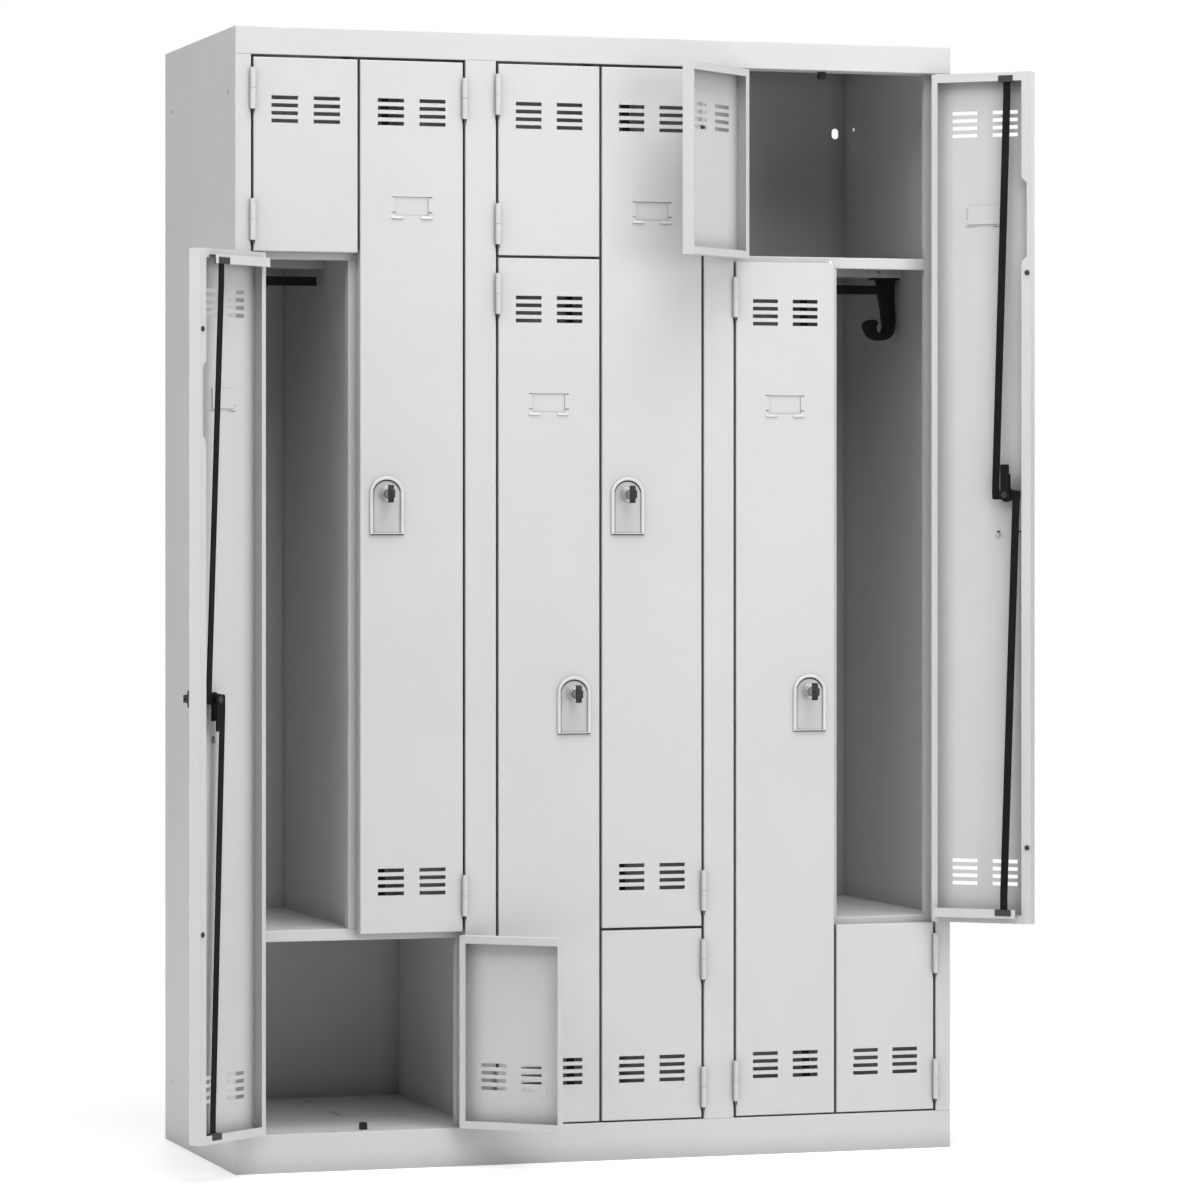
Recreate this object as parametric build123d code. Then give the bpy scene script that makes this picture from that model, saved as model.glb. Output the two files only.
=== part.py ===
from build123d import *
import os
from math import cos, sin, radians

# Three-bay bank of Z-shaped steel lockers. Each bay holds two interlocking
# L-shaped lockers: one has the full-width top box and the right column, the
# other has the left column and the full-width bottom box.
#
# Working frame of the functions below, in mm: X to the right from the left
# outer face, Y to the back from the front face, Z up from the floor.
# to_row() moves every solid into the row frame, whose origin is the centre of
# the base footprint on the floor (front face at Y = -250).

# ---------------------------------------------------------------- dimensions
WIDTH = 1200.0            # outer width of the bank
DEPTH = 500.0             # outer depth of the carcass
HEIGHT = 1800.0           # outer height
BAYS = 3
BAY = WIDTH / BAYS        # bay pitch
T = 1.0                   # sheet thickness of carcass and doors

GAP = 4.1                 # vertical gap beside a door
GAP_SIDE = 27.4           # centre of the hinge gap from the bay's edge
DOOR_T = 22.0             # depth of a door pan
FOLD_R = 1.5              # outside radius of a door's front folds
FRAME_R = 1.3             # outside radius of the carcass folds

TOP_RAIL_Z = 1756.3       # lower edge of the top rail
BASE_RAIL_Z = 60.9        # upper edge of the base rail, and the floor's top
Z_TOP = (1447.4, 1752.1)          # small top door
Z_TALL_L = (63.5, 1443.4)         # tall left door
Z_TALL_R = (372.2, 1752.1)        # tall right door
Z_BOTTOM = (63.5, 368.2)          # small bottom door

STOP_Y = 23.6             # plane of the door-stop flanges
STOP_W = 9.65             # width of a door-stop flange
LIP = 18.0                # height of a shelf's front lip
UPPER_LIP_Z = 1436.4      # bottom of the upper shelf's lip
LOWER_LIP_Z = 361.15      # bottom of the lower shelf's lip
DIV_HALF = 11.0           # half width of the centre divider's front channel

HINGE_Y = -4.6            # hinge axis, in front of the face
KNUCKLE_R = 4.2
PIN_R = 2.0
KNUCKLE_L = 65.0          # both halves together
LEAF_T = 1.1
OPEN_DEG = 140.5          # how far the open doors stand open at rest

STRIP_Y = 36.0            # back of a tall door's strengthening strip
LOCK_ALONG = 127.5        # lock axis from the hinge axis
LOCK_Z_L = 748.5
LOCK_Z_R = 1067.05
ARM = 17.0                # cam arm, and the travel of each bolt rod
CAM_Y = (15.6, 17.6)      # cam plate that works the rods
TONGUE_Y = (25.0, 27.0)   # tongue plate, passes behind the divider's front
TONGUE_L = 49.4
CARD_Y = 1.7              # front of the card holder's set-back plate
RIM_ABOVE, RIM_BELOW = 27.8, 65.0    # escutcheon's edges from the lock axis
RIM_H = 3.7               # height of its bead over the door's face
NOSE_Y = -12.5            # front of the lock barrel
KEY_OUT = 41.5            # how far the key stands out of the face
ROD_W, ROD_T = 12.0, 2.0
ROD_Y_CAM = 19.4          # middle of the rods at the cam,
ROD_Y_RAIL = 14.0         # at the end by the top or base rail, inside the pan,
ROD_Y_SHELF = 30.3        # and at the end by the shelf, behind its lip

VENT_W, VENT_H, VENT_PITCH, VENT_EDGE = 42.7, 6.0, 12.2, 60.0

JOIN_HOLE_R = 3.25        # row-joining holes in the side panels
WALL_HOLE_R = 6.0         # half width of the wall-fixing slots
WALL_SLOT_L = 18.0

OPEN_DOORS = {(0, "tall_left"), (0, "small_bottom"), (2, "small_top"), (2, "tall_right")}

os.makedirs("parts", exist_ok=True)


# ------------------------------------------------------------------- helpers
def bx(x0, x1, y0, y1, z0, z1):
    """Box from its lowest and highest corners."""
    return Pos((x0 + x1) / 2, (y0 + y1) / 2, (z0 + z1) / 2) * Box(abs(x1 - x0), abs(y1 - y0), abs(z1 - z0))


def prism_xz(pts, y0, y1):
    """Polygon of (x, z) points, extruded from y0 to y1."""
    face = make_face(Polyline(*[(x, y0, z) for x, z in pts], close=True))
    return extrude(face, amount=y1 - y0, dir=(0, 1, 0))


def prism_yz(pts, x0, x1):
    """Polygon of (y, z) points, extruded from x0 to x1."""
    face = make_face(Polyline(*[(x0, y, z) for y, z in pts], close=True))
    return extrude(face, amount=x1 - x0, dir=(1, 0, 0))


def cyl_y(x, z, r, y0, y1):
    return Pos(x, (y0 + y1) / 2, z) * Rot(90, 0, 0) * Cylinder(r, y1 - y0)


def cyl_x(y, z, r, x0, x1):
    return Pos((x0 + x1) / 2, y, z) * Rot(0, 90, 0) * Cylinder(r, x1 - x0)


def cyl_z(x, y, r, z0, z1):
    return Pos(x, y, (z0 + z1) / 2) * Cylinder(r, z1 - z0)


def arch(cx, hw, zb, zt, rise, y0, y1):
    """Upright arch: straight sides, a round top of the given rise."""
    a = (cx - hw, y0, zb)
    b = (cx + hw, y0, zb)
    c = (cx + hw, y0, zt - rise)
    d = (cx - hw, y0, zt - rise)
    face = make_face([Line(a, b), Line(b, c), ThreePointArc(c, (cx, y0, zt), d), Line(d, a)])
    return extrude(face, amount=y1 - y0, dir=(0, 1, 0))


def fold(s, axis, r, **at):
    """Round the long edges that run along an axis at the given position, such
    as fold(s, Axis.Z, 1.2, x=0, y=0)."""
    picked = []
    for e in s.edges().filter_by(axis):
        c = e.center()
        if e.length > 25 and all(abs(getattr(c, k.upper()) - v) < 0.01 for k, v in at.items()):
            picked.append(e)
    return fillet(picked, r)


def to_row(shape, dx=0.0):
    return Pos(dx - WIDTH / 2, -DEPTH / 2, 0) * shape


def write(name, shapes):
    """One STEP per node; each entry of shapes stays a solid of its own."""
    solids = []
    for s in shapes:
        solids += list(s.solids())
    export_step(Compound(solids) if len(solids) > 1 else solids[0], f"parts/{name}.step")


# ------------------------------------------------------------------- carcass
X_EDGE = GAP_SIDE - GAP / 2          # visible width of an end stile
X_STOP = X_EDGE + STOP_W             # inner edge of a door-stop flange
JOIN_HOLES = [(50.0, 100.0), (50.0, 1700.0), (450.0, 100.0), (450.0, 1700.0)]


def jamb(x_edge, side, z0, z1):
    """Return, door-stop flange and stiffening return behind a stile's edge.
    side is +1 where the opening lies at larger X."""
    if side > 0:
        s = bx(x_edge - T, x_edge, T, STOP_Y + T, z0, z1)
        s += bx(x_edge, x_edge + STOP_W, STOP_Y, STOP_Y + T, z0, z1)
        s += bx(x_edge + STOP_W - T, x_edge + STOP_W, STOP_Y + T, STOP_Y + 13, z0, z1)
    else:
        s = bx(x_edge, x_edge + T, T, STOP_Y + T, z0, z1)
        s += bx(x_edge - STOP_W, x_edge, STOP_Y, STOP_Y + T, z0, z1)
        s += bx(x_edge - STOP_W, x_edge - STOP_W + T, STOP_Y + T, STOP_Y + 13, z0, z1)
    return s


def side_panel(left):
    """Side sheet with its front stile, jamb and bottom flange in one fold."""
    s = bx(0, T, 0, DEPTH - T, 0, HEIGHT)
    s += bx(T, X_EDGE, 0, T, BASE_RAIL_Z, TOP_RAIL_Z)
    s += jamb(X_EDGE, +1, BASE_RAIL_Z, TOP_RAIL_Z)
    s = fold(s, Axis.Z, FRAME_R, x=0, y=0)
    s = fold(s, Axis.Z, FRAME_R, x=X_EDGE, y=0)
    s += bx(T, 20, 32, DEPTH - 2, 0, T)
    s -= [cyl_x(y, z, JOIN_HOLE_R, -2, T + 1) for y, z in JOIN_HOLES]
    # pilot holes of the shelf screws
    s -= [cyl_x(377, z, 2.0, -2, T + 1) for z in (UPPER_LIP_Z + 9, LOWER_LIP_Z + 9)]
    if not left:
        s = Pos(WIDTH, 0, 0) * mirror(s, about=Plane.YZ)
    s -= stile_notches(left, not left)
    return s


def stile_notches(left_hung, right_hung, shift=0.0):
    """V-shaped clearances in a stile's edges below the hinge knuckles."""
    out = []
    if left_hung:
        for z in hinge_z(*Z_TOP, False) + hinge_z(*Z_TALL_L, True):
            out.append(hinge_notch(GAP_SIDE + shift, z - KNUCKLE_L / 2))
    if right_hung:
        for z in hinge_z(*Z_BOTTOM, False) + hinge_z(*Z_TALL_R, True):
            out.append(hinge_notch(WIDTH - GAP_SIDE - shift, z - KNUCKLE_L / 2))
    return out


def hinge_z(z0, z1, tall):
    off = 57.4 if tall else 49.5
    return (z0 + off, z1 - off)


def hinge_notch(xh, z):
    """V-shaped clearance in the face folds below a knuckle."""
    h = GAP / 2
    return prism_xz([(xh - 4.3, z + 1.0), (xh + 4.3, z + 1.0), (xh + 4.3, z - 1.0), (xh + h, z - 10.5), (xh - h, z - 10.5),
                     (xh - 4.3, z - 1.0)], -1, 3.0)


def partition():
    """Stile channel between two bays with the full-depth partition sheet."""
    xl, xr = BAY - X_EDGE, BAY + X_EDGE
    s = bx(xl, xr, 0, T, BASE_RAIL_Z, TOP_RAIL_Z)
    s += jamb(xl, -1, BASE_RAIL_Z, TOP_RAIL_Z)
    s += jamb(xr, +1, BASE_RAIL_Z, TOP_RAIL_Z)
    s = fold(s, Axis.Z, FRAME_R, x=xl, y=0)
    s = fold(s, Axis.Z, FRAME_R, x=xr, y=0)
    s += bx(BAY - T / 2, BAY + T / 2, T, DEPTH - T, BASE_RAIL_Z, TOP_RAIL_Z)
    s += bx(BAY - T / 2, BAY + T / 2, 45, DEPTH - T, TOP_RAIL_Z, HEIGHT - T)
    s -= stile_notches(True, False, BAY)
    s -= stile_notches(False, True, WIDTH - BAY)
    return s


ROD_X_R = BAY - GAP_SIDE - LOCK_ALONG      # rod line of the right door, in a bay
ROD_X_L = GAP_SIDE + LOCK_ALONG            # rod line of the left door, in a bay
ROD_SLOT = (ROD_W / 2 + 2.0, 3.0)          # half sizes of the holes that the rods enter


def rod_hole(x, y, z0, z1):
    return bx(x - ROD_SLOT[0], x + ROD_SLOT[0], y - ROD_SLOT[1], y + ROD_SLOT[1], z0, z1)


def top_panel():
    s = bx(T, WIDTH - T, T, DEPTH - T, HEIGHT - T, HEIGHT)
    s += bx(T, WIDTH - T, 0, T, TOP_RAIL_Z, HEIGHT)
    s += bx(T, WIDTH - T, T, 42, TOP_RAIL_Z, TOP_RAIL_Z + T)
    s += bx(T, WIDTH - T, 41, 42, TOP_RAIL_Z + T, TOP_RAIL_Z + 12)
    s = fold(s, Axis.X, FRAME_R, y=0, z=HEIGHT)
    s = fold(s, Axis.X, FRAME_R, y=0, z=TOP_RAIL_Z)
    s -= [rod_hole(ROD_X_R + BAY * k, ROD_Y_RAIL, TOP_RAIL_Z - 2, TOP_RAIL_Z + 3) for k in range(BAYS)]
    return s


# slits pressed in the floor of each bay: four along the depth and a row of
# four short ones across it
FLOOR_SLITS = [(225.5, 228.5, 215, 281), (225.5, 228.5, 411, 486), (134.0, 137.0, 302, 333), (154.0, 157.0, 462, 494)]
FLOOR_SLITS += [(301.0 + 12.2 * i, 310.0 + 12.2 * i, 320.5, 323.5) for i in range(4)]


def base_panel():
    """Floor sheet, base rail with its foot flange, and the support channel
    that carries the floor at mid depth."""
    s = bx(T, WIDTH - T, T, DEPTH - T, BASE_RAIL_Z - T, BASE_RAIL_Z)
    s += bx(T, WIDTH - T, 0, T, 0, BASE_RAIL_Z)
    s = fold(s, Axis.X, FRAME_R, y=0, z=BASE_RAIL_Z)
    s += bx(T, WIDTH - T, T, 30, 0, T)
    for y in (230.0, 269.0):
        s += bx(31, WIDTH - 31, y, y + T, 0, BASE_RAIL_Z - T)
    s += bx(31, WIDTH - 31, 231, 269, 0, T)
    s -= [rod_hole(ROD_X_L + BAY * k, ROD_Y_RAIL, BASE_RAIL_Z - 3, BASE_RAIL_Z + 2) for k in range(BAYS)]
    for k in range(BAYS):
        s -= [bx(BAY * k + x0, BAY * k + x1, y0, y1, BASE_RAIL_Z - 3, BASE_RAIL_Z + 2) for x0, x1, y0, y1 in FLOOR_SLITS]
    return s


def back_panel():
    s = bx(0, WIDTH, DEPTH - T, DEPTH, 0, HEIGHT)
    h = WALL_SLOT_L / 2 - WALL_HOLE_R
    for x in (17.0, WIDTH - 17.0):
        for z in (104.0, 1696.0):
            cut = bx(x - WALL_HOLE_R, x + WALL_HOLE_R, DEPTH - 3, DEPTH + 1, z - h, z + h)
            cut += cyl_y(x, z - h, WALL_HOLE_R, DEPTH - 3, DEPTH + 1)
            cut += cyl_y(x, z + h, WALL_HOLE_R, DEPTH - 3, DEPTH + 1)
            s -= cut
    return s


SHELF_X = (T, BAY - T / 2)
HAT_Y = (220.0, 260.0)
HAT_H = 20.0
HAT_SCREWS = (17.0, 63.0, BAY - 63.0, BAY - 17.0)


def shelf_sheet(first, last, z):
    """Sheet that spans a bay behind the jambs, its nose between them."""
    xl = T if first else T / 2
    xr = BAY - (T if last else T / 2)
    s = bx(xl, xr, STOP_Y + 14, DEPTH - T, z - T, z)
    s += bx(X_STOP, BAY - X_STOP, STOP_Y, STOP_Y + 14, z - T, z)
    return s, xl, xr


def upper_shelf(first, last):
    z = UPPER_LIP_Z + LIP
    s, xl, xr = shelf_sheet(first, last, z)
    s += bx(X_STOP, BAY - X_STOP, STOP_Y, STOP_Y + T, UPPER_LIP_Z, z)
    s += bx(X_STOP, BAY - X_STOP, STOP_Y + T, STOP_Y + 12, UPPER_LIP_Z, UPPER_LIP_Z + T)
    s = fold(s, Axis.X, FRAME_R, y=STOP_Y, z=z)
    s = fold(s, Axis.X, FRAME_R, y=STOP_Y, z=UPPER_LIP_Z)
    # hat channel that stiffens the shelf and carries the coat hooks
    zb = z - T - HAT_H
    s += bx(xl, xr, HAT_Y[0], HAT_Y[1], zb, zb + T)
    s += bx(xl, xr, HAT_Y[0], HAT_Y[0] + T, zb, z - T)
    s += bx(xl, xr, HAT_Y[1] - T, HAT_Y[1], zb, z - T)
    # rear flange, turned down
    s += bx(xl, xr, DEPTH - 2 * T, DEPTH - T, z - 16, z - T)
    s -= rod_hole(ROD_X_L, ROD_Y_SHELF, UPPER_LIP_Z - 2, UPPER_LIP_Z + 3)
    s -= cyl_y(BAY / 2, UPPER_LIP_Z + 9.5, 1.5, STOP_Y - 1, STOP_Y + 2)
    # oval holes in the stiffener's face between its screws, and the screws' own
    for x in (41.0, BAY - 41.0):
        s -= bx(x - 1.6, x + 1.6, HAT_Y[0] - 1, HAT_Y[0] + 2, zb + 7.6, zb + 10.8)
        s -= cyl_y(x - 1.6, zb + 9.2, 1.6, HAT_Y[0] - 1, HAT_Y[0] + 2)
        s -= cyl_y(x + 1.6, zb + 9.2, 1.6, HAT_Y[0] - 1, HAT_Y[0] + 2)
    for x in HAT_SCREWS:
        s -= cyl_y(x, zb + 9.2, 1.5, HAT_Y[0] - 1, HAT_Y[0] + 2)
    return s


def lower_shelf(first, last):
    z = LOWER_LIP_Z + LIP
    s, xl, xr = shelf_sheet(first, last, z)
    s += bx(X_STOP, BAY - X_STOP, STOP_Y, STOP_Y + T, LOWER_LIP_Z, z)
    s += bx(X_STOP, BAY - X_STOP, STOP_Y + T, STOP_Y + 10, LOWER_LIP_Z, LOWER_LIP_Z + T)
    s = fold(s, Axis.X, FRAME_R, y=STOP_Y, z=z)
    s = fold(s, Axis.X, FRAME_R, y=STOP_Y, z=LOWER_LIP_Z)
    s += bx(xl, xr, DEPTH - 2 * T, DEPTH - T, z - 16, z - T)
    s -= rod_hole(ROD_X_R, ROD_Y_SHELF, z - 3, z + 2)
    s -= cyl_y(BAY / 2, LOWER_LIP_Z + 8.5, 1.5, STOP_Y - 1, STOP_Y + 2)
    return s


def centre_divider():
    """Front channel with the slots that the lock tongues enter, and the sheet
    that parts the two columns."""
    c = BAY / 2
    z0 = LOWER_LIP_Z + LIP
    z1 = UPPER_LIP_Z + LIP - T
    zc = UPPER_LIP_Z
    yb = STOP_Y + 22
    s = bx(c - DIV_HALF, c + DIV_HALF, STOP_Y, STOP_Y + T, z0, zc)
    s += bx(c - DIV_HALF, c - DIV_HALF + T, STOP_Y + T, yb, z0, zc)
    s += bx(c + DIV_HALF - T, c + DIV_HALF, STOP_Y + T, yb, z0, zc)
    s += bx(c - DIV_HALF + T, c + DIV_HALF - T, yb - T, yb, z0, zc)
    s = fold(s, Axis.Z, FRAME_R, x=c - DIV_HALF, y=STOP_Y)
    s = fold(s, Axis.Z, FRAME_R, x=c + DIV_HALF, y=STOP_Y)
    s += bx(c - T / 2, c + T / 2, yb, DEPTH - 2 * T, z0, z1)
    s -= bx(c - 2, c + 2, HAT_Y[0] - 0.3, HAT_Y[1] + 0.3, z1 - HAT_H - 0.3, z1 + 1)
    s -= bx(c - 2, c + 2, DEPTH - 2 * T - 0.5, DEPTH, z1 - 16, z1 + 1)
    # tongue slots: left door below its lock axis, right door above its own
    s -= bx(c - DIV_HALF - 1, c - 3, STOP_Y + T, TONGUE_Y[1] + 1.6, LOCK_Z_L - 41, LOCK_Z_L + 10)
    s -= bx(c + 3, c + DIV_HALF + 1, STOP_Y + T, TONGUE_Y[1] + 1.6, LOCK_Z_R - 10, LOCK_Z_R + 41)
    return s


HOOK_Y = 240.0
HOOK_TOP = UPPER_LIP_Z + LIP - T - HAT_H


def coat_hook():
    """Right-column coat hook with its hanging arm, one moulding: a foot under
    the stiffener, a J-shaped hook beside the outer wall, and an arm that runs
    to the centre divider."""
    kx, kz = 0.3323, 0.3114

    def p(cx, cz):
        return (337.6 + (cx - 235) * kx, HOOK_Y - 6.0, HOOK_TOP - (cz - 1185) * kz)

    outer = Spline(p(403, 1202), p(400, 1290), p(403, 1370), p(404, 1440), p(394, 1482), p(366, 1512), p(320, 1522),
                   p(272, 1510), p(246, 1480), p(235, 1447))
    tip = Spline(p(235, 1447), p(244, 1420), p(272, 1410), p(302, 1414), p(313, 1430))
    inner = Spline(p(313, 1430), p(303, 1452), p(308, 1472), p(322, 1484), p(336, 1466), p(338, 1420), p(330, 1350),
                   p(314, 1272))
    left = Line(p(314, 1272), p(314, 1230))
    flare = Line(p(314, 1230), p(303, 1185))
    top = Line(p(303, 1185), p(415, 1185))
    right = Line(p(415, 1185), p(403, 1202))
    s = extrude(make_face([outer, tip, inner, left, flare, top, right]), amount=12.0, dir=(0, 1, 0))
    z = HOOK_TOP
    s += bx(BAY / 2 + 9, 366.0, HOOK_Y - 5, HOOK_Y + 5, z - 27.2, z - 12.8)
    # foot plate with its two screw heads
    s += bx(352.0, 399.0 - 1.0, HOOK_Y - 14, HOOK_Y + 14, z - 3, z)
    return s


SCREW_Z = (LOWER_LIP_Z + 8.5, UPPER_LIP_Z + 9.5)


def shelf_screw(c, y, z):
    """Pan-head cross-recessed screw, its head on the face at y."""
    s = cyl_y(c, z, 2.9, y - 1.1, y)
    s = fillet(s.faces().sort_by(Axis.Y)[0].edges(), 0.6)
    s += cyl_y(c, z, 1.5, y, y + 5)
    s -= bx(c - 1.9, c + 1.9, y - 2, y - 0.55, z - 0.3, z + 0.3)
    s -= bx(c - 0.3, c + 0.3, y - 2, y - 0.55, z - 1.9, z + 1.9)
    return s


def door_stop():
    """Stop block for a small door's free corner, lower one of the pair."""
    x0 = BAY / 2 + 8.6
    s = bx(x0, x0 + 11, DOOR_T + 0.6, DOOR_T + 10.6, BASE_RAIL_Z, BASE_RAIL_Z + 11.4)
    s = chamfer(s.faces().sort_by(Axis.Z)[-1].edges(), 1.2)
    return s


def frame_leaf(xh, side, zc):
    """Frame half of a hinge: lower knuckle, leaf on the jamb, and the pin.
    side is +1 for a hinge at the left of its door."""
    z0, z1 = zc - KNUCKLE_L / 2, zc - 0.3
    s = cyl_z(xh, HINGE_Y, KNUCKLE_R, z0, z1)
    x1 = xh - side * GAP / 2
    x2 = x1 + side * LEAF_T
    s += bx(min(x1, x2), max(x1, x2), HINGE_Y, 20, z0, z1)
    s += cyl_z(xh, HINGE_Y, PIN_R, z1, zc + KNUCKLE_L / 2 - 1.5)
    return s


def door_leaf(xh, side, zc):
    z0, z1 = zc + 0.3, zc + KNUCKLE_L / 2
    s = cyl_z(xh, HINGE_Y, KNUCKLE_R, z0, z1)
    x1 = xh + side * GAP / 2
    x2 = x1 - side * LEAF_T
    s += bx(min(x1, x2), max(x1, x2), HINGE_Y, 20, z0, z1)
    s -= cyl_z(xh, HINGE_Y, PIN_R + 0.07, z0 - 1, z1 - 1.0)
    return s


# --------------------------------------------------------------------- doors
X_L = GAP_SIDE                  # hinge axis of the left-hung doors of bay 1
X_R = BAY - GAP_SIDE            # hinge axis of the right-hung doors of bay 1
DOOR_W = BAY / 2 - GAP / 2 - (GAP_SIDE + GAP / 2)


def span(xh, side, a, b):
    """X range between two distances along the door from its hinge axis."""
    x0, x1 = xh + side * a, xh + side * b
    return min(x0, x1), max(x0, x1)


def vents(xh, side, z_from, direction):
    """Two groups of four slots; z_from is the outer edge of the first slot."""
    out = []
    c = GAP / 2 + DOOR_W / 2
    for a in (c - 12.75 - VENT_W, c + 12.75):
        x0, x1 = span(xh, side, a, a + VENT_W)
        for i in range(4):
            z = z_from + direction * i * VENT_PITCH
            z2 = z + direction * VENT_H
            out.append(bx(x0, x1, -1, T + 1, min(z, z2), max(z, z2)))
    return out


def pan(xh, side, z0, z1, tall):
    """Folded door pan: face, four walls and the return lips."""
    x0, x1 = span(xh, side, GAP / 2, GAP / 2 + DOOR_W)
    s = bx(x0, x1, 0, DOOR_T, z0, z1)
    s = fillet(s.faces().sort_by(Axis.Y)[0].edges(), FOLD_R)
    s -= bx(x0 + T, x1 - T, T, DOOR_T - T, z0 + T, z1 - T)
    hinge_lip = 10.0
    free_lip = 16.0 if tall else T
    end_lip = 14.0 if tall else 12.0
    a0, a1 = span(xh, side, GAP / 2 + hinge_lip, GAP / 2 + DOOR_W - free_lip)
    s -= bx(a0, a1, DOOR_T - T - 1, DOOR_T + 1, z0 + end_lip, z1 - end_lip)
    for zc in hinge_z(z0, z1, tall):
        s -= hinge_notch(xh, zc - KNUCKLE_L / 2)
    return s


def small_door(xh, side, z0, z1, top):
    s = pan(xh, side, z0, z1, False)
    s -= vents(xh, side, (z1 - VENT_EDGE) if top else (z0 + VENT_EDGE), -1 if top else 1)
    leaves = [door_leaf(xh, side, zc) for zc in hinge_z(z0, z1, False)]
    return [s] + leaves



class Tall:
    """Everything that differs between the two tall doors of a bay."""

    def __init__(self, name):
        self.right = name == "tall_right"
        self.xh = X_R if self.right else X_L
        self.side = -1 if self.right else 1
        self.z0, self.z1 = Z_TALL_R if self.right else Z_TALL_L
        self.lock_z = LOCK_Z_R if self.right else LOCK_Z_L
        self.lock_x = self.xh + self.side * LOCK_ALONG
        self.label_z = (1501.5, 1538.2) if self.right else (1192.3, 1229.1)
        self.cut_z = (1444.0, 1581.6) if self.right else (1146.7, 1271.2)
        self.buffers = (1426.4, 496.0) if self.right else (1318.9, 387.6)
        # rail end at the top for the right door, at the bottom for the left
        self.rail_z = self.z1 if self.right else self.z0
        self.rail_dir = -1 if self.right else 1          # from the rail end into the door
        self.shelf_z = self.z0 if self.right else self.z1
        self.shelf_dir = 1 if self.right else -1


def zspan(z, d, a, b):
    p, q = z + d * a, z + d * b
    return min(p, q), max(p, q)


def tall_door(t):
    s = pan(t.xh, t.side, t.z0, t.z1, True)
    s -= vents(t.xh, t.side, t.z1 - VENT_EDGE, -1)
    s -= vents(t.xh, t.side, t.z0 + VENT_EDGE, 1)
    # shallow cut-out in the free-edge lip
    a = GAP / 2 + DOOR_W - 16.0
    pts = [(a - 1, t.cut_z[0]), (a + 9, t.cut_z[0] + 9), (a + 9, t.cut_z[1] - 9), (a - 1, t.cut_z[1])]
    s -= prism_xz([(t.xh + t.side * u, z) for u, z in pts], DOOR_T - T - 1, DOOR_T + 1)
    # holes for the lock barrel and for the escutcheon's two clips
    s -= cyl_y(t.lock_x, t.lock_z, 9.7, -1, T + 0.5)
    for d in (-1, 1):
        x = t.lock_x + d * 18.2
        s -= bx(x - 2.6, x + 2.6, -1, T + 0.5, t.lock_z - 62.6, t.lock_z - 58.2)
    # notch for the rail-end rod guide
    x0, x1 = span(t.xh, t.side, LOCK_ALONG - 12.5, LOCK_ALONG + 12.5)
    z0, z1 = zspan(t.rail_z, t.rail_dir, 5.0, 15.5)
    s -= bx(x0, x1, DOOR_T - T - 0.5, DOOR_T + 1, z0, z1)
    # hole in the end wall that the rail-end rod leaves through
    s -= rod_hole(t.lock_x, ROD_Y_RAIL, t.rail_z - 3, t.rail_z + 3)
    # card holder: plate set back behind the face and open at its foot, two
    # louvre tabs that carry the card, and small relief slots beside it
    cx = t.xh + t.side * 85.8
    zb, zt = t.label_z
    lo, hi = zb + 6.0, zt - 1.0
    s -= bx(cx - 27, cx + 27, -1, T, lo, hi)
    s += bx(cx - 28, cx + 28, CARD_Y, CARD_Y + T, lo, hi + T)
    s += bx(cx - 28, cx - 27, T, CARD_Y, lo, hi + T) + bx(cx + 27, cx + 28, T, CARD_Y, lo, hi + T)
    s += bx(cx - 28, cx + 28, T, CARD_Y, hi, hi + T)
    for d in (-1, 1):
        u0, u1 = sorted((cx + d * 27.0, cx + d * 33.2))
        s -= bx(u0, u1, -1, T + 0.6, hi - 1.4, hi)
        s -= bx(u0, u1, -1, T + 0.6, zb + 10.2, zb + 11.6)
        v0, v1 = sorted((cx + d * 14.2, cx + d * 33.2))
        s += prism_yz([(-1.7, zb + 0.9), (-1.7, zb + 1.5), (-0.2, zb + 4.9), (0.5, zb + 4.9), (0.5, zb + 0.9)], v0, v1)
        s -= bx(v0 + 0.8, v1 - 0.8, -0.9, T + 1, zb + 1.6, zb + 2.5)
    # strengthening strip at the shelf end, welded behind the lip
    x0, x1 = span(t.xh, t.side, 9.5, 148.0)
    y1 = STRIP_Y
    z0, z1 = zspan(t.shelf_z, t.shelf_dir, 8.9, 9.9)
    strip = bx(x0, x1, DOOR_T, y1, z0, z1)
    strip -= bx(t.lock_x - 8.5, t.lock_x + 8.5, ROD_Y_SHELF - 2.2, ROD_Y_SHELF + 2.2, z0 - 1, z1 + 1)
    z0, z1 = zspan(t.shelf_z, t.shelf_dir, 8.9, 23.4)
    strip += bx(x0, x1, y1 - T, y1, z0, z1)
    z0, z1 = zspan(t.shelf_z, t.shelf_dir, 13.4, 24.0)
    strip -= bx(t.lock_x - 13.2, t.lock_x + 13.2, y1 - 2, y1 + 1, z0, z1)
    s += strip
    leaves = [door_leaf(t.xh, t.side, zc) for zc in hinge_z(t.z0, t.z1, True)]
    return [s] + leaves


def arch_face(cx, hw, zb, zt, rise, y):
    a, b = (cx - hw, y, zb), (cx + hw, y, zb)
    c, d = (cx + hw, y, zt - rise), (cx - hw, y, zt - rise)
    return make_face([Line(a, b), Line(b, c), ThreePointArc(c, (cx, y, zt), d), Line(d, a)])


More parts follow.
